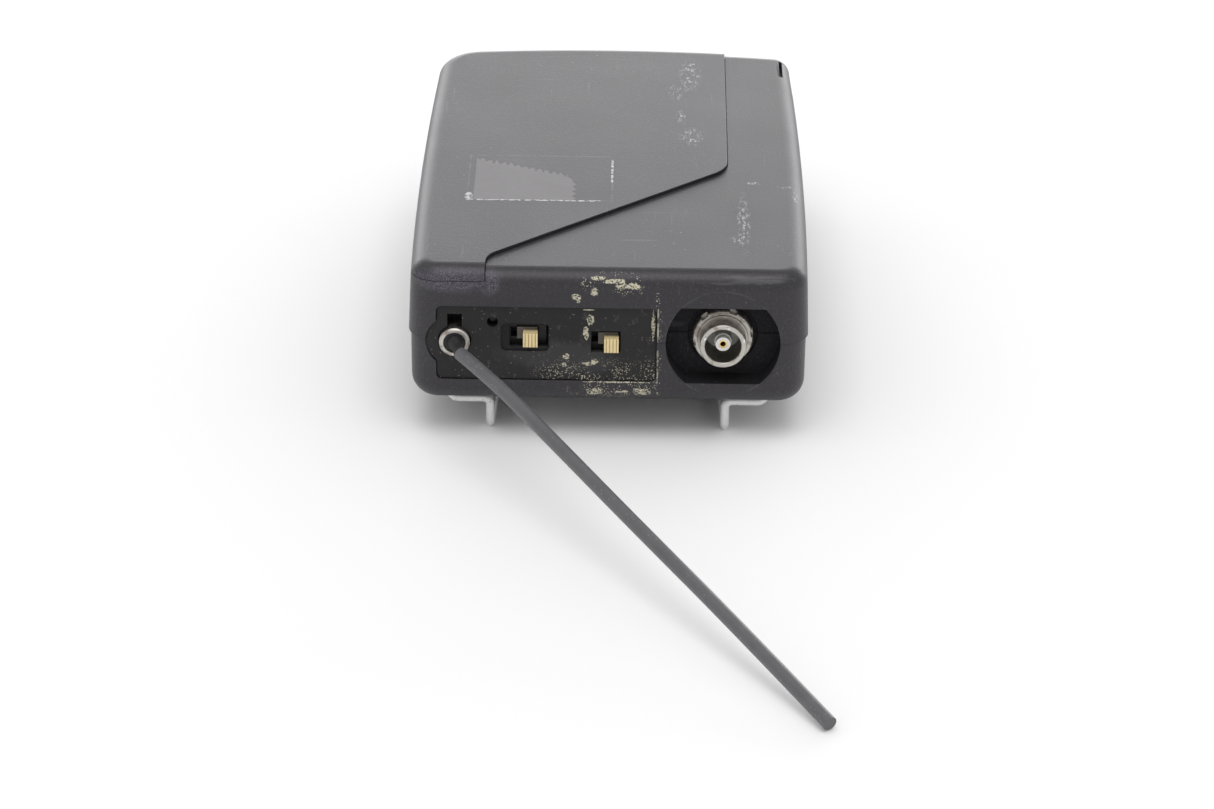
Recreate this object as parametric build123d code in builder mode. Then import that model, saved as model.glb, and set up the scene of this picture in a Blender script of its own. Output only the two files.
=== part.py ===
"""Wireless bodypack transmitter, modelled in millimetres.

Frame: +X to the right of the connector face, -Y out of that face, +Z up, away from the belt clip.
The origin is under the middle of the pack, on the surface that the belt clip rests on.
"""

import os
from math import tan, radians

from build123d import *

# --- driving dimensions of the case ---
CASE_WIDTH = 66.7          # across the lip at mid length, where the case is widest
FRONT_WIDTH = 66.0
BACK_WIDTH = 64.1
CASE_LENGTH = 100.4
BACK_BOW = 2.4             # how far the back end swells out on the centre line
BARREL_PROUD = 0.6         # how far the input connector stands out of the front face
FRONT = -(CASE_LENGTH + BARREL_PROUD) / 2 + BARREL_PROUD
BACK = FRONT + CASE_LENGTH
CASE_BOTTOM = 6.4
PARTING = 18.2             # height where the two shells meet
TOP = 30.4
COVER_TOP = 30.9           # the battery door stands proud of the shell
LIP = 0.35                 # the upper shell overhangs the lower one by this much
WALL = 2.0
FRONT_WALL = 2.4
FLOOR = 1.8
FRONT_CORNER = 5.0
BACK_CORNERS = (8.5, 3.5)   # left, right
TOP_EDGE = 3.0
BOTTOM_EDGE = 3.8
UPPER_DRAFT = 2.1
LOWER_DRAFT = 0.5
FIT = 0.1                  # clearance between pieces that slide or drop into each other

# --- battery door ---
DOOR_FLAT = 28.7           # underside of the door
DECK_TOP = 28.6            # the shell under the door
DECK_THICK = 1.6
DOOR_RIGHT = 20.0
DOOR_FRONT_RIGHT = -20.3   # the strip left of this runs right to the front
DIAGONAL_Y = (FRONT + 6.2, FRONT + 43.6)   # where the diagonal step meets those two edges
DIAGONAL_BENDS = (5.0, 7.0)
HOOK_LENGTH = 5.0
HOOK_DROP = 2.7

# --- connector face ---
PANEL_WIDTH = 36.4
PANEL_HEIGHT = 13.4
PANEL_X = -10.2
PANEL_Z = 17.6             # height of the middle of the panel
PANEL_DEPTH = 0.7          # panel surface behind the front face
PANEL_THICK = 0.7
BULGE_R = 4.8
JACK_X = -25.35
JACK_Z = 17.85
SLEEVE_R = 2.55
SLEEVE_BORE_R = 1.775
SLEEVE_PROUD = 0.3
KEYHOLE = (2.4, 4.85)      # width, and height above the jack axis
LED_X = -19.1
LED_Z = 21.3
# each switch: ends of its slot, height of the slot, and where its knob rests
POWER_SWITCH = ((-16.3, -9.95), 18.8, -12.85)
MUTE_SWITCH = ((-2.85, 2.05), 18.0, 0.54)
SLOT_HEIGHT = 3.8
KNOB = (2.4, 2.6)
KNOB_DROP = 0.5            # the knobs sit this far below the middle of their slots
WELL_X = 18.95
WELL_Z = 18.0
WELL_R = 9.5
WELL_FLAT = 6.88           # half the height between the well's two flats
WELL_DEPTH = 4.8
BOSS_WALL = 1.5

# --- input connector ---
BARREL_R = 3.85
BARREL_BORE_R = 3.0
THREAD_R = 4.15
THREAD_START = 2.6         # depth behind the front face where the thread begins
NUT_R = 5.0
NUT_DEPTH = (2.75, 4.8)
WASHER_R = 4.9
WASHER_THICK = 0.5
WEB_BACK = 7.2
FLANGE_R = 5.7
FLANGE_THICK = 1.4
POST_R = 1.225
CONTACT_R = 0.7
CONTACT_BORE_R = 0.465

# --- inside ---
BOARD_BOTTOM = CASE_BOTTOM + 5.4
BOARD_THICK = 1.6
BATTERY = (26.5, 46.2, 17.4)
BATTERY_CENTRE = (-15.3, FRONT + 68.3)
BATTERY_FLOOR = CASE_BOTTOM + FLOOR + 0.2
CASE_POSTS = [(-26.5, FRONT + 15), (26.5, FRONT + 15), (27.0, FRONT + 90)]
BOARD_POSTS = [(-8.0, FRONT + 12), (8.0, FRONT + 12), (15.0, FRONT + 89)]
POST_OUT_R = 2.3
SCREW_R = 1.0

# --- belt clip, bent from round wire ---
WIRE_R = 0.7
CLIP_LEG_X = 19.6
CLIP_SOCKET_X = 26.2
CLIP_FRONT = FRONT + 4.4
CLIP_BACK = FRONT + 74.0
CLIP_TAB_Z = CASE_BOTTOM - 0.05 - WIRE_R
CLIP_END_Z = CASE_BOTTOM + FLOOR + 2.6
SOCKET_RISE = 0.4          # how far the clip's sockets rise above the floor

# --- antenna wire, from the plug to its cut end ---
ANTENNA_R = 1.15
ANTENNA_ROUTE = [
    (-24.2, FRONT - 4.2, 17.75),
    (-18.7, FRONT - 12.0, 16.9),
    (-9.8, FRONT - 25.5, 14.3),
    (5.4, FRONT - 49.4, 9.9),
    (20.3, FRONT - 72.5, 5.8),
    (34.1, FRONT - 94.2, 1.35),
]
PLUG_MOUTH_R = 1.3
PLUG_NECK = (-24.9, FRONT - 2.0, 17.8)
PLUG_NECK_R = 0.75

FACE = Plane(origin=(0, FRONT, 0), x_dir=(1, 0, 0), z_dir=(0, -1, 0))

os.makedirs("parts", exist_ok=True)


def save(piece, name):
    """Name a finished piece and write it as its own node."""
    piece.part.label = name
    export_step(piece.part, f"parts/{name}.step")


def face_plane(depth):
    """The connector face's plane, moved into the case by depth; its y is the height above the table."""
    return FACE.offset(-depth)


def plan_sketch(height, inset):
    """The case seen from above at one height, pulled in all round by inset, with its four corners rounded."""
    widths = (FRONT_WIDTH, CASE_WIDTH, BACK_WIDTH)
    half_front, half_middle, half_back = [width / 2 - inset for width in widths]
    front, back = FRONT + inset, BACK - inset
    corner = back - BACK_BOW
    middle = (front + corner) / 2
    with BuildSketch(Plane.XY.offset(height)) as plan:
        with BuildLine():
            Line((-half_front, front), (half_front, front))
            ThreePointArc((half_front, front), (half_middle, middle), (half_back, corner))
            ThreePointArc((half_back, corner), (0, back), (-half_back, corner))
            ThreePointArc((-half_back, corner), (-half_middle, middle), (-half_front, front))
        make_face()
        fillet(plan.vertices().group_by(Axis.Y)[0], max(FRONT_CORNER - inset, 0.5))
        for side, radius in zip((0, -1), BACK_CORNERS):
            rear = plan.vertices().filter_by(lambda v: abs(v.Y - corner) < 0.01)
            fillet(rear.sort_by(Axis.X)[side], radius - inset)
    return plan.sketch


def cover_blank(top):
    """The outer form of the case above the parting line, with its top edge rounded."""
    with BuildPart() as blank:
        extrude(plan_sketch(PARTING, 0), amount=top - PARTING, taper=UPPER_DRAFT)
        fillet(blank.faces().sort_by(Axis.Z)[-1].outer_wire().edges(), TOP_EDGE)
    return blank.part


def door_region(height, gap):
    """The door's plan at one height: all of the case left of and behind the diagonal step."""
    reach = CASE_WIDTH
    with BuildSketch(Plane.XY.offset(height)) as region:
        with BuildLine():
            Polyline(
                (-reach, FRONT - 1),
                (DOOR_FRONT_RIGHT - gap, FRONT - 1),
                (DOOR_FRONT_RIGHT - gap, DIAGONAL_Y[0] + gap),
                (DOOR_RIGHT - gap, DIAGONAL_Y[1] + gap),
                (DOOR_RIGHT - gap, BACK + 1),
                (-reach, BACK + 1),
                (-reach, FRONT - 1),
            )
        make_face()
        for y, radius in zip(DIAGONAL_Y, DIAGONAL_BENDS):
            fillet(region.vertices().filter_by(lambda v: abs(v.Y - y - gap) < 0.01), radius)
    return region.sketch


def well_sketch(depth, radius, flat):
    """A circle on the connector's axis, its top and bottom cut flat in line with the panel."""
    with BuildSketch(face_plane(depth)) as well:
        with Locations((WELL_X, WELL_Z)):
            Circle(radius)
        with Locations((WELL_X, PANEL_Z)):
            Rectangle(3 * radius, 2 * flat, mode=Mode.INTERSECT)
    return well.sketch


def panel_sketch(depth, gap):
    """The control panel's outline: a rounded rectangle with a bulge round the antenna jack."""
    with BuildSketch(face_plane(depth)) as panel:
        with Locations((PANEL_X, PANEL_Z)):
            RectangleRounded(PANEL_WIDTH - 2 * gap, PANEL_HEIGHT - 2 * gap, 1.0)
        with Locations((JACK_X, JACK_Z)):
            Circle(BULGE_R - gap)
    return panel.sketch


def cut_connector_face():
    """Every hole and recess of the connector face, cut from the shell that is open now."""
    extrude(panel_sketch(-1, 0), amount=-(1 + PANEL_DEPTH + PANEL_THICK), mode=Mode.SUBTRACT)
    extrude(well_sketch(-1, WELL_R, WELL_FLAT), amount=-(1 + WELL_DEPTH), mode=Mode.SUBTRACT)
    with BuildSketch(face_plane(-1)) as nut_seat:
        with Locations((WELL_X, WELL_Z)):
            Circle(5.8)
    extrude(nut_seat.sketch, amount=-(1 + NUT_DEPTH[1] + WASHER_THICK), mode=Mode.SUBTRACT)
    with BuildSketch(face_plane(-1)) as round_holes:
        with Locations((WELL_X, WELL_Z)):
            Circle(THREAD_R + FIT)
        with Locations((JACK_X, JACK_Z)):
            Circle(SLEEVE_R + 0.2)
        with Locations((LED_X, LED_Z)):
            Circle(1.1)
    extrude(round_holes.sketch, amount=-(WEB_BACK + 2), mode=Mode.SUBTRACT)
    with BuildSketch(face_plane(-1)) as square_holes:
        for (left, right), height, knob_x in (POWER_SWITCH, MUTE_SWITCH):
            with Locations(((left + right) / 2 - 0.4, height)):
                Rectangle(right - left + 1.6, SLOT_HEIGHT + 0.6)
        with Locations((JACK_X, JACK_Z + KEYHOLE[1] / 2)):
            Rectangle(KEYHOLE[0], KEYHOLE[1])
    extrude(square_holes.sketch, amount=-(1 + FRONT_WALL + 1), mode=Mode.SUBTRACT)


def connector_boss():
    """The cup wall and the web behind the well, added to the shell that is open now."""
    extrude(well_sketch(FRONT_WALL - 0.4, WELL_R + BOSS_WALL, WELL_FLAT + BOSS_WALL),
            amount=-(WEB_BACK - FRONT_WALL + 0.4))


# --- upper shell ---
with BuildPart() as under_door:
    add(cover_blank(COVER_TOP))
    extrude(door_region(PARTING, 0), amount=DECK_TOP - PARTING, mode=Mode.INTERSECT)

with BuildPart() as upper_shell:
    add(cover_blank(TOP))
    extrude(door_region(PARTING, 0), amount=COVER_TOP, mode=Mode.SUBTRACT)
    add(under_door.part)
    extrude(plan_sketch(PARTING, FRONT_WALL), amount=TOP - PARTING - WALL, mode=Mode.SUBTRACT)
    # the roof drops below the door, so the deck keeps its own thickness there
    deck_low = DECK_TOP - DECK_THICK
    extrude(plan_sketch(deck_low, FRONT_WALL - 0.2), amount=DECK_THICK)
    with BuildSketch(Plane.XY.offset(deck_low)):
        with Locations((BATTERY_CENTRE[0], BATTERY_CENTRE[1] - 0.6)):
            Rectangle(BATTERY[0] + 0.8, BATTERY[1] + 5.6)
    extrude(amount=DECK_THICK + 1, mode=Mode.SUBTRACT)
    connector_boss()
    with Locations(*[(x, y, PARTING) for x, y in CASE_POSTS]):
        Cylinder(POST_OUT_R, deck_low - PARTING, align=(Align.CENTER, Align.CENTER, Align.MIN))
        Cylinder(SCREW_R + 0.05, 6, align=(Align.CENTER, Align.CENTER, Align.MIN), mode=Mode.SUBTRACT)
    split(bisect_by=Plane.XY.offset(PARTING), keep=Keep.TOP)
    cut_connector_face()
    # a narrow slot moulded in the right edge near the back
    with Locations((30.1, BACK - 9.2, TOP - 0.6)):
        Box(0.6, 7.6, 2.0, mode=Mode.SUBTRACT)
save(upper_shell, "upper_shell")

# --- lower shell ---
with BuildPart() as lower_shell:
    extrude(plan_sketch(PARTING, LIP), amount=-(PARTING - CASE_BOTTOM), taper=LOWER_DRAFT)
    fillet(lower_shell.faces().sort_by(Axis.Z)[0].outer_wire().edges(), BOTTOM_EDGE)
    inner_low = CASE_BOTTOM + FLOOR
    extrude(plan_sketch(PARTING, FRONT_WALL), amount=-(PARTING - inner_low), mode=Mode.SUBTRACT)
    connector_boss()
    with Locations(*[(x, y, inner_low) for x, y in CASE_POSTS]):
        Cylinder(POST_OUT_R, PARTING - inner_low, align=(Align.CENTER, Align.CENTER, Align.MIN))
    with Locations(*[(x, y, inner_low) for x, y in BOARD_POSTS]):
        Cylinder(POST_OUT_R, BOARD_BOTTOM - inner_low, align=(Align.CENTER, Align.CENTER, Align.MIN))
    # wall between the battery bay and the circuit board
    with Locations((-0.8, FRONT + 65, inner_low)):
        Box(1.2, 54, 8.4, align=(Align.CENTER, Align.CENTER, Align.MIN))
    # sockets for the clip's two ends
    with Locations(*[(x, CLIP_FRONT + 2.2, inner_low) for x in (-CLIP_SOCKET_X, CLIP_SOCKET_X)]):
        Box(4.4, 6.4, SOCKET_RISE, align=(Align.CENTER, Align.CENTER, Align.MIN))
    split(bisect_by=Plane.XY.offset(PARTING), keep=Keep.BOTTOM)
    cut_connector_face()
    with Locations(*[(x, y, CASE_BOTTOM) for x, y in CASE_POSTS]):
        Cylinder(SCREW_R + 0.15, PARTING, align=(Align.CENTER, Align.CENTER, Align.MIN), mode=Mode.SUBTRACT)
        Cylinder(2.05, 2.4, align=(Align.CENTER, Align.CENTER, Align.MIN), mode=Mode.SUBTRACT)
    with Locations(*[(x, y, inner_low - 0.8) for x, y in BOARD_POSTS]):
        Cylinder(0.8, BOARD_BOTTOM, align=(Align.CENTER, Align.CENTER, Align.MIN), mode=Mode.SUBTRACT)
    with Locations((-CLIP_SOCKET_X, CLIP_FRONT, 0), (CLIP_SOCKET_X, CLIP_FRONT, 0)):
        Cylinder(WIRE_R + 0.05, CLIP_END_Z + 0.2, align=(Align.CENTER, Align.CENTER, Align.MIN),
                 mode=Mode.SUBTRACT)
save(lower_shell, "lower_shell")

# --- battery door ---
with BuildPart() as battery_door:
    add(cover_blank(COVER_TOP))
    split(bisect_by=Plane.XY.offset(DOOR_FLAT), keep=Keep.TOP)
    extrude(door_region(DOOR_FLAT - 1, FIT), amount=5, mode=Mode.INTERSECT)
    hook_y = BATTERY_CENTRE[1] - 0.6 - (BATTERY[1] + 5.6) / 2 + FIT + HOOK_LENGTH / 2
    for side in (-1, 1):
        web_x = BATTERY_CENTRE[0] + side * (BATTERY[0] / 2 + 0.4 - 0.15 - 0.5)
        with Locations((web_x, hook_y, DOOR_FLAT)):
            Box(1.0, HOOK_LENGTH, HOOK_DROP, align=(Align.CENTER, Align.CENTER, Align.MAX))
        foot_x = web_x + side * 0.4
        with Locations((foot_x, hook_y, DOOR_FLAT - HOOK_DROP)):
            Box(1.8, HOOK_LENGTH, 0.8, align=(Align.CENTER, Align.CENTER, Align.MIN))
save(battery_door, "battery_door")

# --- control panel ---
with BuildPart() as control_panel:
    extrude(panel_sketch(PANEL_DEPTH, FIT), amount=-PANEL_THICK)
    with BuildSketch(face_plane(PANEL_DEPTH)):
        with Locations((JACK_X, JACK_Z)):
            Circle(SLEEVE_R + 0.2)
        with Locations((JACK_X, JACK_Z + KEYHOLE[1] / 2)):
            Rectangle(KEYHOLE[0], KEYHOLE[1])
        with Locations((LED_X, LED_Z)):
            Circle(0.93)
        for (left, right), height, knob_x in (POWER_SWITCH, MUTE_SWITCH):
            with Locations(((left + right) / 2, height)):
                Rectangle(right - left, SLOT_HEIGHT)
    extrude(amount=-PANEL_THICK, mode=Mode.SUBTRACT)
    # shallow finger pocket round the power switch
    with BuildSketch(face_plane(PANEL_DEPTH)):
        with Locations((sum(POWER_SWITCH[0]) / 2 - 0.6, POWER_SWITCH[1] - 0.2)):
            RectangleRounded(8.0, 5.0, 0.9)
    extrude(amount=-0.3, mode=Mode.SUBTRACT)
save(control_panel, "control_panel")

# --- slide switches: a fixed body, a dark lever that slides in it, and a knob pressed on the lever ---
LEVER_FRONT = PANEL_DEPTH + PANEL_THICK + 0.15
for name, ((left, right), height, knob_x) in (("power", POWER_SWITCH), ("mute", MUTE_SWITCH)):
    body_x = knob_x - 1.0
    with BuildPart() as switch_body:
        with BuildSketch(face_plane(FRONT_WALL + 0.2)):
            with Locations((body_x, height)):
                Rectangle(7.2, 5.0)
        extrude(amount=-4.6)
        with BuildSketch(face_plane(FRONT_WALL)):
            with Locations((body_x, height)):
                Rectangle(4.6, 1.8)
        extrude(amount=-2.2, mode=Mode.SUBTRACT)
        with BuildSketch(face_plane(FRONT_WALL + 4.8)):
            with GridLocations(2.5, 0, 3, 1):
                with Locations((body_x, height - 1)):
                    Circle(0.4)
        extrude(amount=-1.6)
    save(switch_body, f"{name}_switch_body")

    with BuildPart() as switch_lever:
        with BuildSketch(face_plane(LEVER_FRONT)):
            with Locations((knob_x - 0.55, height + 0.25)):
                Rectangle(KNOB[0] + 0.9, 2.1)
        extrude(amount=-(FRONT_WALL - LEVER_FRONT))
        with BuildSketch(face_plane(FRONT_WALL)):
            with Locations((knob_x, height)):
                Rectangle(1.6, 1.2)
        extrude(amount=-1.8)
    save(switch_lever, f"{name}_switch_lever")

    with BuildPart() as switch_knob:
        with BuildSketch(face_plane(0.0)):
            with Locations((knob_x, height - KNOB_DROP)):
                Rectangle(*KNOB)
        extrude(amount=-LEVER_FRONT)
        front_edges = switch_knob.edges().filter_by(Axis.X).group_by(Axis.Y)[0]
        fillet(front_edges, 0.25)
        with BuildSketch(face_plane(0.0)):
            with Locations((knob_x, height - KNOB_DROP)):
                with GridLocations(0.56, 0, 4, 1):
                    Rectangle(0.13, KNOB[1] + 1)
        extrude(amount=-0.16, mode=Mode.SUBTRACT)
    save(switch_knob, f"{name}_switch_knob")

# --- status lamp ---
with BuildPart() as status_led:
    with BuildSketch(face_plane(2.0)):
        with Locations((LED_X, LED_Z)):
            Circle(0.85)
    extrude(amount=-0.8)
    fillet(status_led.faces().sort_by(Axis.Y)[0].edges(), 0.4)
    with BuildSketch(face_plane(2.6)):
        with Locations((LED_X, LED_Z)):
            Circle(1.5)
    extrude(amount=-3.0)
    with BuildSketch(face_plane(5.6)):
        with Locations((LED_X - 0.8, LED_Z), (LED_X + 0.8, LED_Z)):
            Rectangle(0.4, 0.4)
    extrude(amount=-3.0)
save(status_led, "status_led")

# --- antenna jack ---
with BuildPart() as antenna_sleeve:
    with BuildSketch(face_plane(-SLEEVE_PROUD)):
        with Locations((JACK_X, JACK_Z)):
            Circle(SLEEVE_R)
            Circle(SLEEVE_BORE_R, mode=Mode.SUBTRACT)
    extrude(amount=-9.0)
    mouth = antenna_sleeve.faces().sort_by(Axis.Y)[0].edges()
    chamfer(mouth.sort_by(SortBy.LENGTH)[-1], 0.25)
    chamfer(antenna_sleeve.faces().sort_by(Axis.Y)[0].inner_wires()[0].edges(), 0.1)
save(antenna_sleeve, "antenna_sleeve")

with BuildPart() as antenna_bracket:
    with BuildSketch(face_plane(4.2)):
        with Locations((JACK_X, JACK_Z - 0.25)):
            Rectangle(8.0, 8.6)
        with Locations((JACK_X, JACK_Z)):
            Circle(SLEEVE_R + 0.05, mode=Mode.SUBTRACT)
    extrude(amount=-1.2)
    with Locations((JACK_X, FRONT + 7.2, JACK_Z - 4.35)):
        Box(8.0, 6.0, 0.8, align=(Align.CENTER, Align.CENTER, Align.MIN))
save(antenna_bracket, "antenna_bracket")

# the wire leaves the plug at a slant, in the direction of its first run
EXIT_PLANE = Plane(origin=ANTENNA_ROUTE[0], z_dir=Vector(ANTENNA_ROUTE[1]) - Vector(ANTENNA_ROUTE[0]))

with BuildPart() as antenna_plug:
    with BuildSketch(face_plane(0)):
        with Locations((JACK_X, JACK_Z)):
            Circle(SLEEVE_BORE_R - 0.05)
    extrude(amount=-7.7)
    with BuildSketch(face_plane(0)) as plug_mouth:
        with Locations((JACK_X, JACK_Z)):
            Circle(PLUG_MOUTH_R)
    neck_plane = Plane(origin=PLUG_NECK, z_dir=Vector(ANTENNA_ROUTE[0]) - Vector(PLUG_NECK))
    with BuildSketch(neck_plane) as plug_neck:
        Circle(PLUG_NECK_R)
    with BuildSketch(EXIT_PLANE) as plug_tip:
        Circle(ANTENNA_R)
    loft([plug_mouth.sketch, plug_neck.sketch], ruled=True)
    loft([plug_neck.sketch, plug_tip.sketch], ruled=True)
save(antenna_plug, "antenna_plug")


def route_radii(points):
    """The largest arcs that the route's runs have room for, one for each corner."""
    corners = []
    for before, here, after in zip(points, points[1:], points[2:]):
        arriving, leaving = Vector(here) - Vector(before), Vector(after) - Vector(here)
        turn = radians(arriving.get_angle(leaving))
        corners.append(0.45 * min(arriving.length, leaving.length) / tan(turn / 2))
    return corners


with BuildPart() as antenna_wire:
    radii = route_radii(ANTENNA_ROUTE)
    with BuildLine() as antenna_path:
        FilletPolyline(*ANTENNA_ROUTE, radius=radii)
    with BuildSketch(EXIT_PLANE):
        Circle(ANTENNA_R)
    sweep(path=antenna_path.line)
save(antenna_wire, "antenna_wire")
antenna_length = sum(edge.length for edge in antenna_path.line.edges())
print("antenna corner radii", [round(r, 1) for r in radii], "length", round(antenna_length, 1))

# --- input connector ---
with BuildPart() as connector_barrel:
    with BuildSketch(face_plane(-BARREL_PROUD)):
        with Locations((WELL_X, WELL_Z)):
            Circle(BARREL_R)
    extrude(amount=-(BARREL_PROUD + THREAD_START))
    with BuildSketch(face_plane(THREAD_START)):
        with Locations((WELL_X, WELL_Z)):
            Circle(THREAD_R)
    extrude(amount=-(WEB_BACK - THREAD_START))
    with BuildSketch(face_plane(WEB_BACK)):
        with Locations((WELL_X, WELL_Z)):
            Circle(FLANGE_R)
    extrude(amount=-FLANGE_THICK)
    with BuildSketch(face_plane(WEB_BACK + FLANGE_THICK)):
        with Locations((WELL_X, WELL_Z)):
            Circle(4.6)
    extrude(amount=-7.0)
    with BuildSketch(face_plane(-BARREL_PROUD)):
        with Locations((WELL_X, WELL_Z)):
            Circle(BARREL_BORE_R)
    extrude(amount=-16.5, mode=Mode.SUBTRACT)
    rim = connector_barrel.edges().filter_by(GeomType.CIRCLE).group_by(Axis.Y)[0]
    fillet(rim, 0.25)
save(connector_barrel, "connector_barrel")

with BuildPart() as connector_ring_nut:
    with BuildSketch(face_plane(NUT_DEPTH[0])):
        with Locations((WELL_X, WELL_Z)):
            Circle(NUT_R)
            Circle(THREAD_R + 0.05, mode=Mode.SUBTRACT)
    extrude(amount=-(NUT_DEPTH[1] - NUT_DEPTH[0]))
    outer_rim = connector_ring_nut.faces().sort_by(Axis.Y)[0].outer_wire().edges()
    chamfer(outer_rim, 0.2)
    with BuildSketch(face_plane(NUT_DEPTH[0])):
        with Locations((WELL_X, WELL_Z)):
            with PolarLocations(NUT_R, 6, start_angle=10):
                Rectangle(0.8, 1.3)
    extrude(amount=-1.2, mode=Mode.SUBTRACT)
save(connector_ring_nut, "connector_ring_nut")

with BuildPart() as connector_lock_washer:
    with BuildSketch(face_plane(NUT_DEPTH[1])):
        with Locations((WELL_X, WELL_Z)):
            Circle(WASHER_R)
            Circle(THREAD_R + 0.1, mode=Mode.SUBTRACT)
            with PolarLocations(WASHER_R, 12):
                Rectangle(0.8, 0.7, mode=Mode.SUBTRACT)
    extrude(amount=-WASHER_THICK)
save(connector_lock_washer, "connector_lock_washer")

with BuildPart() as connector_insulator:
    with BuildSketch(face_plane(0.4)):
        with Locations((WELL_X, WELL_Z)):
            Circle(POST_R)
    extrude(amount=-4.8)
    with BuildSketch(face_plane(1.6)):
        with Locations((WELL_X, WELL_Z)):
            Circle(POST_R + 0.2)
    extrude(amount=-3.6)
    with BuildSketch(face_plane(5.2)):
        with Locations((WELL_X, WELL_Z)):
            Circle(BARREL_BORE_R - 0.03)
    extrude(amount=-8.8)
    with BuildSketch(face_plane(0.4)):
        with Locations((WELL_X, WELL_Z)):
            Circle(CONTACT_R + 0.02)
    extrude(amount=-14, mode=Mode.SUBTRACT)
save(connector_insulator, "connector_insulator")

with BuildPart() as connector_contact:
    with BuildSketch(face_plane(0.5)):
        with Locations((WELL_X, WELL_Z)):
            Circle(CONTACT_R)
    extrude(amount=-16.5)
    with BuildSketch(face_plane(0.5)):
        with Locations((WELL_X, WELL_Z)):
            Circle(CONTACT_BORE_R)
    extrude(amount=-6, mode=Mode.SUBTRACT)
save(connector_contact, "connector_contact")

# --- circuit board and what it carries ---
with BuildPart() as main_board:
    with BuildSketch(Plane.XY.offset(BOARD_BOTTOM)) as board:
        with BuildLine():
            Polyline((-29.5, FRONT + 9), (29.5, FRONT + 9), (29.5, FRONT + 90), (27.0, FRONT + 93),
                     (0.4, FRONT + 93), (0.4, FRONT + 36.5), (-29.5, FRONT + 36.5), (-29.5, FRONT + 9))
        make_face()
        with Locations(*CASE_POSTS):
            Circle(POST_OUT_R + 0.4, mode=Mode.SUBTRACT)
        with Locations(*BOARD_POSTS):
            Circle(0.95, mode=Mode.SUBTRACT)
    extrude(amount=BOARD_THICK)
save(main_board, "main_board")

BOARD_TOP = BOARD_BOTTOM + BOARD_THICK
ON_BOARD = (Align.CENTER, Align.CENTER, Align.MIN)

with BuildPart() as rf_shield:
    with Locations((14.5, FRONT + 40, BOARD_TOP)):
        Box(24, 30, 5.0, align=ON_BOARD)
    fillet(rf_shield.edges().filter_by(Axis.Z), 1.0)
    fillet(rf_shield.faces().sort_by(Axis.Z)[-1].edges(), 0.4)
    with Locations((14.5, FRONT + 40, BOARD_TOP)):
        Box(23, 29, 4.6, align=ON_BOARD, mode=Mode.SUBTRACT)
    with Locations((9.0, FRONT + 34, BOARD_TOP), (20.0, FRONT + 46, BOARD_TOP)):
        Cylinder(1.2, 8, align=ON_BOARD, mode=Mode.SUBTRACT)
save(rf_shield, "rf_shield")

with BuildPart() as rf_coils:
    with Locations(*[(x, FRONT + y, BOARD_TOP) for x, y in ((9.0, 34), (20.0, 46), (20.0, 32))]):
        Cylinder(1.8, 3.6, align=ON_BOARD)
        Cylinder(0.8, 3.6, align=ON_BOARD, mode=Mode.SUBTRACT)
save(rf_coils, "rf_coils")

with BuildPart() as signal_chips:
    with Locations((10, FRONT + 66, BOARD_TOP), (10, FRONT + 78, BOARD_TOP), (-16, FRONT + 27, BOARD_TOP)):
        Box(5.0, 8.6, 1.6, align=ON_BOARD)
        with GridLocations(6.4, 1.27, 2, 6):
            Box(1.4, 0.45, 0.3, align=ON_BOARD)
save(signal_chips, "signal_chips")

with BuildPart() as filter_capacitors:
    with Locations((21, FRONT + 62, BOARD_TOP), (21, FRONT + 70, BOARD_TOP), (-4, FRONT + 30, BOARD_TOP),
                   (-4, FRONT + 22, BOARD_TOP)):
        Cylinder(2.5, 6.0, align=ON_BOARD)
    fillet(filter_capacitors.edges().filter_by(GeomType.CIRCLE).group_by(Axis.Z)[-1], 0.4)
save(filter_capacitors, "filter_capacitors")

with BuildPart() as crystal_can:
    with BuildSketch(Plane.XY.offset(BOARD_TOP)):
        with Locations((21, FRONT + 80)):
            SlotOverall(10.0, 4.4)
    extrude(amount=3.4)
    fillet(crystal_can.faces().sort_by(Axis.Z)[-1].edges(), 0.5)
save(crystal_can, "crystal_can")

with BuildPart() as gain_trimmer:
    with Locations((-23, FRONT + 27, BOARD_TOP)):
        Box(4.6, 4.6, 3.2, align=ON_BOARD)
        Cylinder(1.6, 4.0, align=ON_BOARD)
    with Locations((-23, FRONT + 27, BOARD_TOP + 3.4)):
        Box(0.5, 2.6, 1.0, align=ON_BOARD, mode=Mode.SUBTRACT)
save(gain_trimmer, "gain_trimmer")

with BuildPart() as board_screws:
    with Locations(*[(x, y, BOARD_TOP) for x, y in BOARD_POSTS]):
        Cylinder(1.7, 1.1, align=ON_BOARD)
        Cylinder(0.75, 5.0, align=(Align.CENTER, Align.CENTER, Align.MAX))
    with Locations(*[(x, y, BOARD_TOP + 0.6) for x, y in BOARD_POSTS]):
        Box(2.2, 0.4, 1.0, align=ON_BOARD, mode=Mode.SUBTRACT)
        Box(0.4, 2.2, 1.0, align=ON_BOARD, mode=Mode.SUBTRACT)
save(board_screws, "board_screws")

with BuildPart() as case_screws:
    with Locations(*[(x, y, CASE_BOTTOM + 0.7) for x, y in CASE_POSTS]):
        Cylinder(1.9, 1.6, align=ON_BOARD)
        Cylinder(SCREW_R, 17.0, align=ON_BOARD)
    with Locations(*[(x, y, CASE_BOTTOM + 0.2) for x, y in CASE_POSTS]):
        Box(2.4, 0.5, 1.3, align=ON_BOARD, mode=Mode.SUBTRACT)
        Box(0.5, 2.4, 1.3, align=ON_BOARD, mode=Mode.SUBTRACT)
save(case_screws, "case_screws")

# --- battery and its contacts ---
SNAP_Z = BATTERY_FLOOR + BATTERY[2] / 2
BATTERY_FRONT = BATTERY_CENTRE[1] - BATTERY[1] / 2

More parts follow.
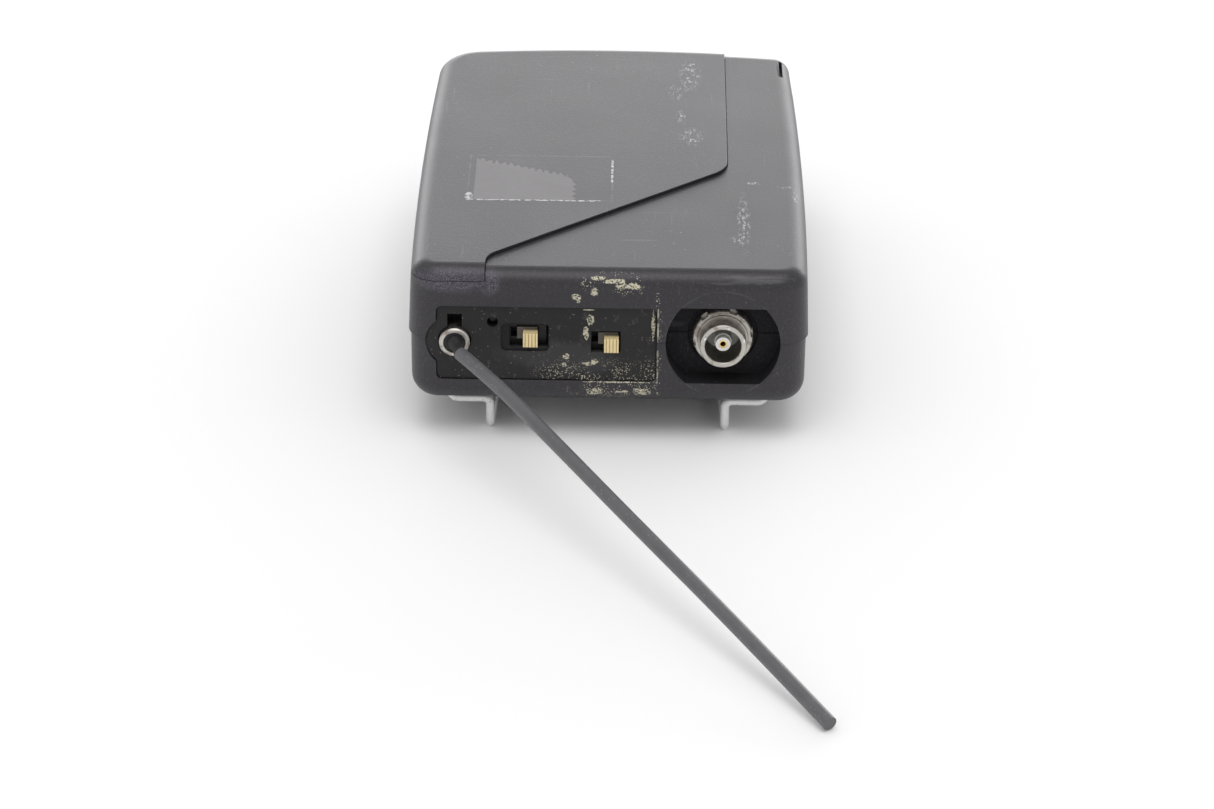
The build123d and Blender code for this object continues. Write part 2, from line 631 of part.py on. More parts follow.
with BuildPart() as battery:
    with Locations((*BATTERY_CENTRE, BATTERY_FLOOR)):
        Box(*BATTERY, align=ON_BOARD)
    fillet(battery.edges().filter_by(Axis.Y), 2.0)
    fillet(battery.faces().filter_by(Axis.Y).edges(), 0.6)
    snap_plane = Plane(origin=(BATTERY_CENTRE[0], BATTERY_FRONT, SNAP_Z), x_dir=(1, 0, 0), z_dir=(0, -1, 0))
    with BuildSketch(snap_plane):
        with Locations((-6.35, 0)):
            Circle(2.85)
        with Locations((6.35, 0)):
            RegularPolygon(4.1, 6)
    extrude(amount=2.6)
save(battery, "battery")

with BuildPart() as battery_contact_block:
    with BuildSketch(snap_plane.offset(3.9)):
        RectangleRounded(25.5, 12.0, 1.5)
    extrude(amount=1.6)
save(battery_contact_block, "battery_contact_block")

with BuildPart() as battery_contacts:
    with BuildSketch(snap_plane.offset(2.65)):
        with Locations((-6.35, 0)):
            Circle(3.4)
        with Locations((6.35, 0)):
            Circle(3.9)
    extrude(amount=1.2)
save(battery_contacts, "battery_contacts")

with BuildPart() as battery_pad:
    with Locations((BATTERY_CENTRE[0], BATTERY_CENTRE[1] + BATTERY[1] / 2 + 0.15, BATTERY_FLOOR + 2)):
        Box(18, 2.0, 12, align=(Align.CENTER, Align.MIN, Align.MIN))
save(battery_pad, "battery_pad")

# --- belt clip ---
with BuildPart() as belt_clip:
    right_half = [
        (CLIP_SOCKET_X, CLIP_FRONT, CLIP_END_Z),
        (CLIP_SOCKET_X, CLIP_FRONT, CLIP_TAB_Z),
        (CLIP_LEG_X, CLIP_FRONT, CLIP_TAB_Z),
        (CLIP_LEG_X, CLIP_FRONT, WIRE_R),
        (CLIP_LEG_X - 1.5, CLIP_BACK - 8, WIRE_R),
        (CLIP_LEG_X - 6, CLIP_BACK, WIRE_R),
    ]
    left_half = [(-x, y, z) for x, y, z in reversed(right_half)]
    with BuildLine() as clip_path:
        FilletPolyline(*right_half, *left_half, radius=[1.2, 1.2, 1.2, 5, 5, 5, 5, 1.2, 1.2, 1.2])
    with BuildSketch(Plane(origin=right_half[0], z_dir=(0, 0, -1))):
        Circle(WIRE_R)
    sweep(path=clip_path.line)
save(belt_clip, "belt_clip")

with BuildPart() as clip_push_nuts:
    nut_z = CASE_BOTTOM + FLOOR + SOCKET_RISE + 0.05
    with Locations((-CLIP_SOCKET_X, CLIP_FRONT, nut_z), (CLIP_SOCKET_X, CLIP_FRONT, nut_z)):
        Cylinder(1.6, 0.5, align=ON_BOARD)
        Cylinder(WIRE_R + 0.02, 0.5, align=ON_BOARD, mode=Mode.SUBTRACT)
save(clip_push_nuts, "clip_push_nuts")
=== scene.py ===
"""Wireless bodypack transmitter: finishes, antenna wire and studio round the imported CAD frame, in metres."""

import math

import bmesh
import bpy
from mathutils import Matrix, Vector


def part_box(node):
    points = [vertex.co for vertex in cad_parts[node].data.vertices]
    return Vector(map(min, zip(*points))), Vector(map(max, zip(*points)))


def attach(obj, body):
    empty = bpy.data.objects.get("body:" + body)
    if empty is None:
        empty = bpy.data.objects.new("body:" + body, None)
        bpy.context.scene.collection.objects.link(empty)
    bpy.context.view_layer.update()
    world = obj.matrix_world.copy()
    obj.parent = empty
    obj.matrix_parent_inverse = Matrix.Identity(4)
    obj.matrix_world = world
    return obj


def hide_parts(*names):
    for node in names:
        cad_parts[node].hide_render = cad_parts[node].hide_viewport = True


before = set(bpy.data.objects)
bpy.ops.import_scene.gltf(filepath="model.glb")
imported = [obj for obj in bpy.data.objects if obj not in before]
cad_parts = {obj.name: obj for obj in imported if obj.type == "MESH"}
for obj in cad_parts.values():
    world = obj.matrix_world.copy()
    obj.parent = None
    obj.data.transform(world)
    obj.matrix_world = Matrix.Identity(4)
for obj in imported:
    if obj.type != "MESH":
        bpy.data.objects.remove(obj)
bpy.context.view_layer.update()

MM = 0.001

# The faces that the wear and the painted shade are placed from, read off the frame.
case_low, case_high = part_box("upper_shell")
battery_low, battery_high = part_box("battery")
FRONT = case_low[1]
TOP = case_high[2]
BOARD_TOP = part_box("main_board")[1][2]
WELL = (18.95, 18.0)       # the connector's axis: X and height, in mm
WELL_FLATS = (10.68 * MM, 24.52 * MM)      # heights of the well's two flats
SEAM = (17.95 * MM, 18.32 * MM)            # heights of the joint between the two shells

# The antenna's route, which is also the route of its solid in the frame.
ANTENNA_DIAMETER = 2.3 * MM
ANTENNA_ROUTE = [
    (-24.2 * MM, FRONT - 4.2 * MM, 17.75 * MM),
    (-18.7 * MM, FRONT - 12.0 * MM, 16.9 * MM),
    (-9.8 * MM, FRONT - 25.5 * MM, 14.3 * MM),
    (5.4 * MM, FRONT - 49.4 * MM, 9.9 * MM),
    (20.3 * MM, FRONT - 72.5 * MM, 5.8 * MM),
    (34.1 * MM, FRONT - 94.2 * MM, 1.35 * MM),
]


# --- camera, floor and light ---

def add_camera():
    """A long lens a little above the pack, looking at its connector face."""
    elevation, turn, roll = math.radians(26.3), math.radians(0.45), math.radians(0.65)
    distance = 0.736
    well_right, well_above = 19.18 * MM, 9.71 * MM     # the well's place from the middle of the picture
    level = Vector((math.cos(turn), math.sin(turn), 0))
    ahead = Vector((-math.sin(turn) * math.cos(elevation), math.cos(turn) * math.cos(elevation),
                    -math.sin(elevation)))
    right = Matrix.Rotation(-roll, 3, ahead) @ level
    up = right.cross(ahead)
    well = Vector((19.0 * MM, FRONT, 17.95 * MM))
    aim = well - right * well_right - up * well_above
    data = bpy.data.cameras.new("photo_camera")
    data.lens = 132.4
    data.sensor_width = 36
    data.clip_end = 20
    camera = bpy.data.objects.new("photo_camera", data)
    bpy.context.scene.collection.objects.link(camera)
    camera.matrix_world = (Matrix.Translation(aim - ahead * distance)
                           @ Matrix((right, up, -ahead)).transposed().to_4x4())
    bpy.context.scene.camera = camera


def add_floor():
    """A white floor that runs out of view on every side."""
    bpy.ops.mesh.primitive_plane_add(size=6, location=(0, 0, 0))
    floor = bpy.context.object
    floor.name = "studio_floor"
    paint = Paint("studio_floor_white")
    paint.set(Roughness=0.9)
    tint = paint.mix(paint.noise(3, detail=2), (0.91, 0.905, 0.91), (0.94, 0.94, 0.94))
    paint.to("Base Color", tint)
    floor.data.materials.append(paint.material)


def add_light(name, place, aim, size, power):
    """One large soft white lamp."""
    data = bpy.data.lights.new(name, "AREA")
    data.shape = "RECTANGLE"
    data.size, data.size_y = size
    data.energy = power
    lamp = bpy.data.objects.new(name, data)
    lamp.location = place
    lamp.rotation_euler = (Vector(aim) - Vector(place)).to_track_quat("-Z", "Y").to_euler()
    bpy.context.scene.collection.objects.link(lamp)


def add_studio_light():
    """A broad low soft box behind the pack for the sheen on its top, one overhead, and a pale surround."""
    add_light("soft_box_back", (0.1, 1.5, 0.30), (0, 0, 0), (2.8, 0.60), 18)
    add_light("soft_box_top", (0, -0.35, 1.3), (0, 0, 0), (1.0, 1.0), 7.0)
    world = bpy.data.worlds.new("pale_surround")
    world.use_nodes = True
    background = world.node_tree.nodes["Background"]
    background.inputs["Color"].default_value = (1, 1, 1, 1)
    background.inputs["Strength"].default_value = 0.70
    bpy.context.scene.world = world
    # white stays white, as in a plain product picture
    bpy.context.scene.view_settings.view_transform = "Standard"


# --- materials ---

class Paint:
    """One material under construction. Its node outputs are passed on as plain values."""

    def __init__(self, name):
        self.material = bpy.data.materials.new(name)
        self.material.use_nodes = True
        self.tree = self.material.node_tree
        self.shader = self.tree.nodes["Principled BSDF"]
        self.place = self.tree.nodes.new("ShaderNodeTexCoord").outputs["Object"]

    def node(self, kind, **settings):
        """A new shader node with the given properties."""
        made = self.tree.nodes.new(kind)
        for key, value in settings.items():
            setattr(made, key, value)
        return made

    def feed(self, socket, value):
        """Puts a number, colour or another node's output into a socket."""
        if isinstance(value, bpy.types.NodeSocket):
            self.tree.links.new(value, socket)
        elif socket.type == "RGBA" and len(value) == 3:
            socket.default_value = (*value, 1)
        else:
            socket.default_value = value

    def to(self, name, value):
        """Feeds one input of the material's shader."""
        self.feed(self.shader.inputs[name], value)

    def set(self, **numbers):
        """Sets the shader's own sockets, with _ for a space in their names."""
        for name, value in numbers.items():
            self.shader.inputs[name.replace("_", " ")].default_value = value

    def noise(self, scale, detail=4, roughness=0.55, where=None):
        """Cloudy noise from 0 to 1, scale in cycles per metre."""
        made = self.node("ShaderNodeTexNoise")
        self.feed(made.inputs["Vector"], where or self.place)
        made.inputs["Scale"].default_value = scale
        made.inputs["Detail"].default_value = detail
        made.inputs["Roughness"].default_value = roughness
        return made.outputs["Fac"]

    def cells(self, scale):
        """The distance to the nearest of many scattered points."""
        made = self.node("ShaderNodeTexVoronoi")
        self.feed(made.inputs["Vector"], self.place)
        made.inputs["Scale"].default_value = scale
        return made.outputs["Distance"]

    def math(self, operation, a, b):
        """One step of arithmetic."""
        made = self.node("ShaderNodeMath", operation=operation)
        self.feed(made.inputs[0], a)
        self.feed(made.inputs[1], b)
        return made.outputs[0]

    def both(self, *masks):
        """Where every mask is on."""
        result = masks[0]
        for mask in masks[1:]:
            result = self.math("MULTIPLY", result, mask)
        return result

    def either(self, *masks):
        """Where any mask is on."""
        result = masks[0]
        for mask in masks[1:]:
            result = self.math("MAXIMUM", result, mask)
        return result

    def outside(self, mask):
        """Where a mask is off."""
        return self.math("SUBTRACT", 1.0, mask)

    def above(self, value, edge, soft=0.02):
        """A mask that goes from 0 to 1 where value passes edge, over a width of twice soft."""
        made = self.node("ShaderNodeMapRange", interpolation_type="SMOOTHSTEP")
        self.feed(made.inputs["Value"], value)
        made.inputs["From Min"].default_value = edge - soft
        made.inputs["From Max"].default_value = edge + soft
        return made.outputs["Result"]

    def below(self, value, edge, soft=0.02):
        """The opposite of above."""
        return self.outside(self.above(value, edge, soft))

    def axis(self, name):
        """The place along X, Y or Z, in metres."""
        made = self.node("ShaderNodeSeparateXYZ")
        self.feed(made.inputs[0], self.place)
        return made.outputs[name]

    def within(self, name, low, high, soft=0.3 * MM):
        """A mask for a band of places along one axis."""
        place = self.axis(name)
        return self.both(self.above(place, low, soft), self.below(place, high, soft))

    def mix(self, share, a, b):
        """Colour a turning into colour b as share goes from 0 to 1."""
        made = self.node("ShaderNodeMix", data_type="RGBA")
        self.feed(made.inputs["Factor"], share)
        self.feed(made.inputs[6], a)
        self.feed(made.inputs[7], b)
        return made.outputs[2]

    def over(self, tone, colour, mask, share):
        """Lays a colour over a tone where mask is on, as strongly as share says."""
        return self.mix(self.math("MULTIPLY", mask, share), tone, colour)

    def blend(self, share, a, b):
        """Number a turning into number b as share goes from 0 to 1."""
        made = self.node("ShaderNodeMix", data_type="FLOAT")
        self.feed(made.inputs[0], share)
        self.feed(made.inputs[2], a)
        self.feed(made.inputs[3], b)
        return made.outputs[0]

    def bump(self, height, depth, strength):
        """Raises the surface by depth metres where height is 1."""
        made = self.node("ShaderNodeBump")
        made.inputs["Strength"].default_value = strength
        made.inputs["Distance"].default_value = depth
        self.feed(made.inputs["Height"], height)
        return made.outputs["Normal"]

    def stretched(self, x, y, z):
        """The place with each axis scaled, for patterns that run in one direction."""
        made = self.node("ShaderNodeVectorMath", operation="MULTIPLY")
        self.feed(made.inputs[0], self.place)
        made.inputs[1].default_value = (x, y, z)
        return made.outputs[0]

    def saw(self, name, tooth):
        """Distance along one axis folded to and fro over each tooth, from 0 to 1."""
        return self.math("DIVIDE", self.math("PINGPONG", self.axis(name), tooth), tooth)

    def blob(self, centre, radii, rag=None, depth=0.5, soft=0.12):
        """A mask for a ragged spot: centre and radii in mm, with y counted from the connector face."""
        shifted = self.node("ShaderNodeVectorMath", operation="SUBTRACT")
        self.feed(shifted.inputs[0], self.place)
        shifted.inputs[1].default_value = (centre[0] * MM, FRONT + centre[1] * MM, centre[2] * MM)
        scaled = self.node("ShaderNodeVectorMath", operation="MULTIPLY")
        self.feed(scaled.inputs[0], shifted.outputs[0])
        scaled.inputs[1].default_value = [1 / (radius * MM) for radius in radii]
        length = self.node("ShaderNodeVectorMath", operation="LENGTH")
        self.feed(length.inputs[0], scaled.outputs[0])
        reach = length.outputs["Value"]
        if rag is not None:
            reach = self.math("ADD", reach, self.math("MULTIPLY", rag, depth * 4))
            reach = self.math("SUBTRACT", reach, depth * 2)
        return self.below(reach, 1.0, soft)

    def slope(self, across, along, rise):
        """The value of along + across * rise over the top of the case, in mm from the connector face."""
        x = self.math("MULTIPLY", self.axis("X"), across / MM)
        y = self.math("MULTIPLY", self.math("SUBTRACT", self.axis("Y"), FRONT), along / MM)
        return self.math("ADD", self.math("ADD", x, y), rise)

    def rounded(self, radius, over):
        """The surface normal with hard edges softened over a small radius."""
        made = self.node("ShaderNodeBevel", samples=4)
        made.inputs["Radius"].default_value = radius
        self.feed(over.node.inputs["Normal"], made.outputs["Normal"])
        return over


def dress(material, *nodes):
    """Gives CAD nodes a material."""
    for name in nodes:
        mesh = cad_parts[name].data
        mesh.materials.clear()
        mesh.materials.append(material)


CREAM = (0.66, 0.62, 0.46)
CHALK = (0.50, 0.52, 0.56)


def case_plastic():
    """Dark grey grained plastic with scuffs, dust, an old label's outline and cream paint on the front,
    painted shade in the well and in the joint between the shells, and a painted highlight along the battery
    door's right edge.
    """
    paint = Paint("case_plastic")
    grain = paint.noise(2600, detail=3)
    cloud = paint.noise(70, detail=6)
    rag = paint.noise(1100, detail=5, roughness=0.75)
    coarse = paint.noise(260, detail=6, roughness=0.7)
    crumb = paint.noise(3200, detail=3, roughness=0.6)
    tone = paint.mix(cloud, (0.016, 0.0155, 0.0175), (0.024, 0.0235, 0.026))
    tone = paint.mix(paint.above(grain, 0.60, 0.08), tone, (0.036, 0.035, 0.039))

    # faint rubbing marks, mostly lengthwise and crosswise hairlines
    lengthwise = paint.noise(1, detail=3, where=paint.stretched(1500, 60, 300))
    crosswise = paint.noise(1, detail=3, where=paint.stretched(70, 1300, 300))
    patchy = paint.above(paint.noise(45, detail=3), 0.52, 0.10)
    hairlines = paint.either(paint.above(lengthwise, 0.68, 0.03), paint.above(crosswise, 0.69, 0.03))
    tone = paint.over(tone, (0.12, 0.12, 0.13), paint.both(hairlines, patchy), 0.30)

    # a little dust
    dust = paint.below(paint.cells(520), 0.085, 0.03)
    dust_here = paint.above(paint.noise(38, detail=4), 0.56, 0.08)
    tone = paint.over(tone, (0.26, 0.26, 0.26), paint.both(dust, dust_here), 0.40)

    # the old label: a thin broken outline, with torn backing paper left in one corner
    top_only = paint.above(paint.axis("Z"), TOP - 1.2 * MM, 0.2 * MM)
    label = paint.both(paint.within("X", -24.6 * MM, 0.3 * MM, 0.1 * MM),
                       paint.within("Y", FRONT + 28.9 * MM, FRONT + 48.2 * MM, 0.1 * MM), top_only)
    inner = paint.both(paint.within("X", -24.3 * MM, 0.0 * MM, 0.1 * MM),
                       paint.within("Y", FRONT + 29.2 * MM, FRONT + 47.9 * MM, 0.1 * MM), top_only)
    outline = paint.both(label, paint.outside(inner), paint.above(coarse, 0.50, 0.06))
    tone = paint.over(tone, (0.15, 0.15, 0.16), outline, 0.35)
    right_edge = paint.both(paint.within("X", -0.1 * MM, 0.25 * MM, 0.08 * MM),
                            paint.within("Y", FRONT + 37 * MM, FRONT + 47 * MM, 0.4 * MM), top_only)
    lower_edge = paint.both(paint.within("Y", FRONT + 28.75 * MM, FRONT + 29.2 * MM, 0.08 * MM),
                            paint.within("X", -24.2 * MM, -1.8 * MM, 0.2 * MM), top_only)
    left_corner = paint.both(paint.blob((-24.2, 30.4, 30.9), (0.7, 1.8, 1), rag, 0.6), top_only)
    edges = paint.both(paint.either(right_edge, lower_edge, left_corner), paint.above(rag, 0.49, 0.03))
    tone = paint.over(tone, (0.55, 0.55, 0.56), edges, 0.85)
    wander = paint.math("MULTIPLY", paint.math("SUBTRACT", coarse, 0.5), 5.0)
    teeth = paint.math("MULTIPLY", paint.saw("X", 0.62 * MM), 1.1)
    side_teeth = paint.math("MULTIPLY", paint.saw("Y", 1.0 * MM), 0.7)
    ragged_top = paint.math("ADD", paint.slope(0.43, 1.0, 0.0), paint.math("ADD", wander, teeth))
    ragged_side = paint.math("ADD", paint.slope(1.0, 0.66, 0.0), paint.math("ADD", wander, side_teeth))
    torn = paint.both(paint.below(ragged_top, 37.2, 0.12), paint.below(ragged_side, 18.8, 0.12),
                      paint.below(paint.math("ADD", paint.slope(1.0, 0.0, 0.0), side_teeth), -6.0, 0.12),
                      paint.above(paint.axis("X"), -23.4 * MM, 0.1 * MM), inner)
    backing = paint.mix(coarse, (0.080, 0.077, 0.079), (0.115, 0.111, 0.113))
    tone = paint.mix(torn, tone, backing)

    # chalky scuffs, and in the last entry a painted highlight along the battery door's right edge, as (middle,
    # radii) in mm
    scuffs_and_door_edge_highlight = [((13.6, 86, 30.9), (1.6, 6.5, 1)), ((11.0, 78, 30.9), (1.0, 3.0, 1)),
              ((13.8, 57.5, 30.9), (1.8, 3.2, 1)), ((12.0, 66, 30.9), (1.0, 3.0, 1)),
              ((22.4, 22, 30.4), (0.9, 9.5, 1)), ((21.2, 15, 30.4), (1.0, 1.4, 1)),
              ((24.2, 38.5, 30.4), (1.6, 0.5, 1)), ((30.0, 37, 30.0), (1.6, 0.45, 1)),
              # the long thin entry at X 20.1 mm is a painted highlight along the battery door's right edge
              ((31.4, 34, 29.4), (0.5, 2.6, 1.2)), ((20.1, 60, 30.85), (0.25, 30, 0.4))]
    smear = paint.noise(1, detail=6, roughness=0.8, where=paint.stretched(2000, 750, 1600))
    for middle, radii in scuffs_and_door_edge_highlight:
        spot = paint.both(paint.blob(middle, radii, rag, 0.25, 0.5), paint.above(smear, 0.56, 0.05))
        tone = paint.over(tone, CHALK, spot, 0.60)
    # a bluish haze of fine scratches on the left of the front rounding
    mist = paint.noise(5200, detail=4, roughness=0.75)
    haze = paint.both(paint.either(paint.blob((-26.0, 1.0, 28.6), (6.5, 3.0, 1.7), coarse, 0.2, 0.5),
                                   paint.blob((-19.6, 1.2, 28.4), (1.6, 3.0, 1.9), coarse, 0.2, 0.5)),
                      paint.above(mist, 0.52, 0.10))
    tone = paint.over(tone, (0.24, 0.23, 0.29), haze, 0.42)
    # long soft streaks of polish on the right of it
    brushed = paint.noise(1, detail=4, where=paint.stretched(60, 900, 900))
    polish = paint.both(paint.blob((22, 0.6, 29.3), (9, 3, 0.5), coarse, 0.6, 0.3),
                        paint.above(brushed, 0.52, 0.06))
    tone = paint.over(tone, (0.16, 0.16, 0.17), polish, 0.25)

    # cream paint: broken patches first, then flecks
    patches = [((-2.3, -0.2, 27.2), (0.7, 1.5, 0.75)), ((-5.3, 0, 26.3), (0.75, 1, 0.55)),
               ((-5.0, 0, 25.6), (0.3, 1, 0.5)), ((-2.3, 0, 8.6), (2.0, 1, 1.0)),
               ((5.8, 0, 8.5), (1.7, 1, 1.1)), ((2.4, 0, 8.9), (1.2, 1, 0.3)),
               ((2.0, 0, 10.75), (5.2, 1, 0.14)), ((-1.8, 1.4, 29.3), (1.2, 0.8, 0.3)),
               ((1.0, 1.1, 28.9), (1.8, 0.8, 0.4)), ((3.6, 0.8, 28.2), (2.0, 0.8, 0.5))]
    for middle, radii in patches:
        spot = paint.both(paint.blob(middle, radii, rag, 0.55), paint.above(crumb, 0.46, 0.06))
        tone = paint.over(tone, CREAM, spot, 0.85)
    line = paint.both(paint.blob((8.2, 0, 18), (0.14, 2, 11), rag, 0.6), paint.above(coarse, 0.49, 0.05))
    tone = paint.over(tone, CREAM, line, 0.55)
    fleck = paint.either(paint.below(paint.cells(1700), 0.17, 0.04),
                         paint.below(paint.cells(2900), 0.22, 0.05))
    speckled = paint.either(paint.blob((1.2, 1.0, 28.4), (6.5, 3, 1.9)),
                            paint.blob((1.5, 0, 9.2), (8.5, 3, 2.4)),
                            paint.blob((8.2, 0, 18), (0.7, 2, 10)))
    fleck_here = paint.above(paint.noise(420, detail=3), 0.50, 0.05)
    tone = paint.over(tone, CREAM, paint.both(fleck, speckled, fleck_here), 0.75)

    # the hairline round the well
    ring = paint.both(paint.blob((WELL[0], 0, WELL[1]), (9.58, 60, 9.58), soft=0.006),
                      paint.outside(paint.blob((WELL[0], 0, WELL[1]), (9.40, 60, 9.40), soft=0.006)),
                      paint.below(paint.axis("Y"), FRONT + 0.5 * MM, 0.1 * MM),
                      paint.above(coarse, 0.46, 0.06))
    tone = paint.over(tone, (0.11, 0.11, 0.12), ring, 0.35)
    # painted shade in the joint between the two shells
    joint_shade = paint.within("Z", *SEAM, 0.06 * MM)
    tone = paint.over(tone, (0.005, 0.005, 0.005), joint_shade, 0.85)
    # painted shade: the inside of the well is painted darker, and it is also made duller
    painted_well_shade = paint.both(paint.above(paint.axis("Y"), FRONT + 0.45 * MM, 0.15 * MM),
                      paint.below(paint.axis("Y"), FRONT + 8 * MM, 0.1 * MM),
                      paint.within("Z", WELL_FLATS[0], WELL_FLATS[1], 0.04 * MM),
                      paint.blob((WELL[0], 2.5, 17.7), (9.8, 12, 9.8), soft=0.01))
    tone = paint.over(tone, (0.004, 0.0035, 0.0035), painted_well_shade, 0.30)
    paint.to("Base Color", tone)
    paint.to("Roughness", paint.blend(painted_well_shade, paint.blend(cloud, 0.37, 0.46), 0.7))
    paint.to("Specular IOR Level", paint.blend(painted_well_shade, 0.5, 0.22))
    paint.set(Specular_Tint=(1.0, 0.95, 1.02, 1))
    paint.to("Normal", paint.rounded(0.18 * MM, paint.bump(grain, 0.05 * MM, 0.55)))
    return paint.material


def panel_plastic():
    """The control panel's brown-black insert, with dust, paint flecks along its lower edge, and painted shade
    in the finger pocket round the power switch.
    """
    paint = Paint("panel_plastic")
    grain = paint.noise(2200, detail=3)
    rag = paint.noise(900, detail=5, roughness=0.7)
    smear = paint.noise(1, detail=5, roughness=0.7, where=paint.stretched(700, 700, 500))
    crumb = paint.noise(3200, detail=3, roughness=0.6)
    tone = paint.mix(paint.noise(120, detail=5), (0.012, 0.011, 0.012), (0.026, 0.025, 0.026))
    film = paint.blob((-7, 0.7, 15.2), (9, 2, 2.6), paint.noise(200), 0.4, 0.4)
    tone = paint.over(tone, (0.048, 0.047, 0.050), film, 0.6)
    tone = paint.over(tone, (0.075, 0.070, 0.066), paint.above(smear, 0.62, 0.05), 0.5)
    lower = paint.below(paint.axis("Z"), 13.6 * MM, 2.4 * MM)
    fine = paint.below(paint.cells(3000), 0.27, 0.06)
    coarse_fleck = paint.below(paint.cells(1500), 0.16, 0.05)
    here = paint.above(paint.noise(300, detail=4), 0.45, 0.06)
    right_half = paint.above(paint.axis("X"), -11 * MM, 3 * MM)
    low_flecks = paint.both(paint.either(fine, coarse_fleck), here, lower, right_half)
    tone = paint.over(tone, CREAM, low_flecks, 0.8)
    scattered = paint.both(paint.below(paint.cells(1300), 0.14, 0.04), paint.above(rag, 0.52, 0.05))
    tone = paint.over(tone, (0.30, 0.28, 0.25), scattered, 0.5)
    marks = [((-3.0, 0.7, 21.9), (0.55, 1, 0.85)), ((-3.7, 0.7, 19.4), (0.42, 1, 1.2)),
             ((-3.2, 0.7, 23.75), (0.8, 1, 0.13)), ((-6.9, 0.7, 15.2), (0.55, 1, 0.45)),
             ((-7.2, 0.7, 13.7), (0.3, 1, 0.3)), ((-3.2, 0.7, 13.9), (1.0, 1, 0.4)),
             ((-2.3, 0.7, 14.4), (0.6, 1, 0.5)), ((7.4, 0.7, 21.0), (0.25, 1, 2.6))]
    for middle, radii in marks:
        spot = paint.both(paint.blob(middle, radii, rag, 0.55), paint.above(crumb, 0.46, 0.06))
        tone = paint.over(tone, CREAM, spot, 0.75)
    # painted shade in the finger pocket round the power switch
    pocket_shade = paint.both(paint.within("X", -17.8 * MM, -9.6 * MM, 0.1 * MM),
                        paint.within("Z", 16.0 * MM, 21.2 * MM, 0.1 * MM),
                        paint.above(paint.axis("Y"), FRONT + 0.85 * MM, 0.05 * MM))
    tone = paint.over(tone, (0.005, 0.0045, 0.0045), pocket_shade, 0.8)
    paint.to("Base Color", tone)
    paint.set(Roughness=0.62, Specular_IOR_Level=0.3)
    paint.to("Normal", paint.rounded(0.1 * MM, paint.bump(grain, 0.04 * MM, 0.5)))
    return paint.material


def worn_nickel():
    """Nickel plate gone grey and brown, with bright rubbed scratches, and its bore painted dark brown, partly
    tarnish and partly painted shade.
    """
    paint = Paint("worn_nickel")
    cloud = paint.noise(420, detail=6, roughness=0.65)
    streak = paint.noise(1, detail=4, where=paint.stretched(900, 2600, 900))
    tone = paint.mix(cloud, (0.42, 0.39, 0.35), (0.68, 0.66, 0.62))
    stain = paint.above(paint.noise(650, detail=5), 0.58, 0.06)
    tone = paint.over(tone, (0.20, 0.15, 0.11), stain, 0.6)
    tone = paint.mix(paint.above(streak, 0.66, 0.04), tone, (0.90, 0.90, 0.88))
    # the bore is painted dark brown: partly tarnish, partly painted shade
    bore_tarnish_and_shade = paint.both(paint.blob((WELL[0], 0, WELL[1]), (3.03, 60, 3.03), soft=0.02),
                      paint.above(paint.axis("Y"), FRONT - 0.35 * MM, 0.1 * MM))
    tone = paint.over(tone, (0.085, 0.075, 0.062), bore_tarnish_and_shade, 0.9)
    paint.to("Base Color", tone)
    paint.set(Metallic=1.0)
    paint.to("Roughness", paint.blend(cloud, 0.33, 0.54))
    paint.to("Normal", paint.rounded(0.08 * MM, paint.bump(streak, 0.02 * MM, 0.4)))
    return paint.material


def ivory_knob():
    """Ivory plastic with grime in its grooves and dark specks."""
    paint = Paint("ivory_knob")
    cloud = paint.noise(700, detail=5)
    tone = paint.mix(cloud, (0.72, 0.57, 0.27), (0.90, 0.76, 0.44))
    grooves = paint.both(paint.above(paint.axis("Y"), FRONT + 0.10 * MM, 0.05 * MM),
                         paint.below(paint.axis("Y"), FRONT + 0.25 * MM, 0.05 * MM))
    tone = paint.over(tone, (0.45, 0.28, 0.12), grooves, 0.55)
    specks = paint.both(paint.below(paint.cells(2600), 0.16, 0.05), paint.above(cloud, 0.52, 0.05))
    tone = paint.over(tone, (0.22, 0.13, 0.07), specks, 0.6)
    paint.to("Base Color", tone)
    paint.set(Roughness=0.5)
    paint.to("Normal", paint.rounded(0.1 * MM, paint.bump(cloud, 0.02 * MM, 0.3)))
    return paint.material


def finish(name, dark, light, roughness, metallic=0.0, scale=400, depth=0.01, stretch=None, fleck=None,
           top=None):
    """Two close tones in a fine pattern, with a bump, and if asked flecks or another tone on top."""
    paint = Paint(name)
    where = paint.stretched(*stretch) if stretch else None
    pattern = paint.noise(1 if stretch else scale, detail=5, where=where)
    tone = paint.mix(pattern, dark, light)
    if fleck:
        specks = paint.both(paint.below(paint.cells(scale * 2.5), 0.18, 0.05),
                            paint.above(paint.noise(scale * 0.4), 0.5, 0.06))
        tone = paint.over(tone, fleck, specks, 0.7)
    if top:
        height, colour = top
        tone = paint.mix(paint.above(paint.axis("Z"), height, 0.03 * MM), tone, colour)
    paint.to("Base Color", tone)
    paint.to("Roughness", paint.blend(pattern, roughness * 0.8, min(roughness * 1.2, 1)))
    paint.set(Metallic=metallic)
    paint.to("Normal", paint.bump(pattern, depth * MM, 0.4))
    return paint.material


def board_laminate():
    """Green solder mask over a maze of tracks, with small tinned pads."""
    paint = Paint("board_laminate")
    tone = paint.mix(paint.noise(150, detail=5), (0.008, 0.060, 0.024), (0.014, 0.090, 0.036))
    along = paint.noise(1, detail=1, where=paint.stretched(900, 40, 10))
    across = paint.noise(1, detail=1, where=paint.stretched(40, 900, 10))
    tracks = paint.either(paint.above(along, 0.60, 0.01), paint.above(across, 0.61, 0.01))
    tone = paint.mix(tracks, tone, (0.030, 0.150, 0.060))
    pads = paint.both(paint.below(paint.cells(420), 0.22, 0.02), paint.above(paint.noise(60), 0.5, 0.02))
    tone = paint.mix(pads, tone, (0.55, 0.55, 0.54))
    paint.to("Base Color", tone)
    paint.set(Roughness=0.32)
    paint.to("Normal", paint.bump(tracks, 0.03 * MM, 0.6))
    return paint.material


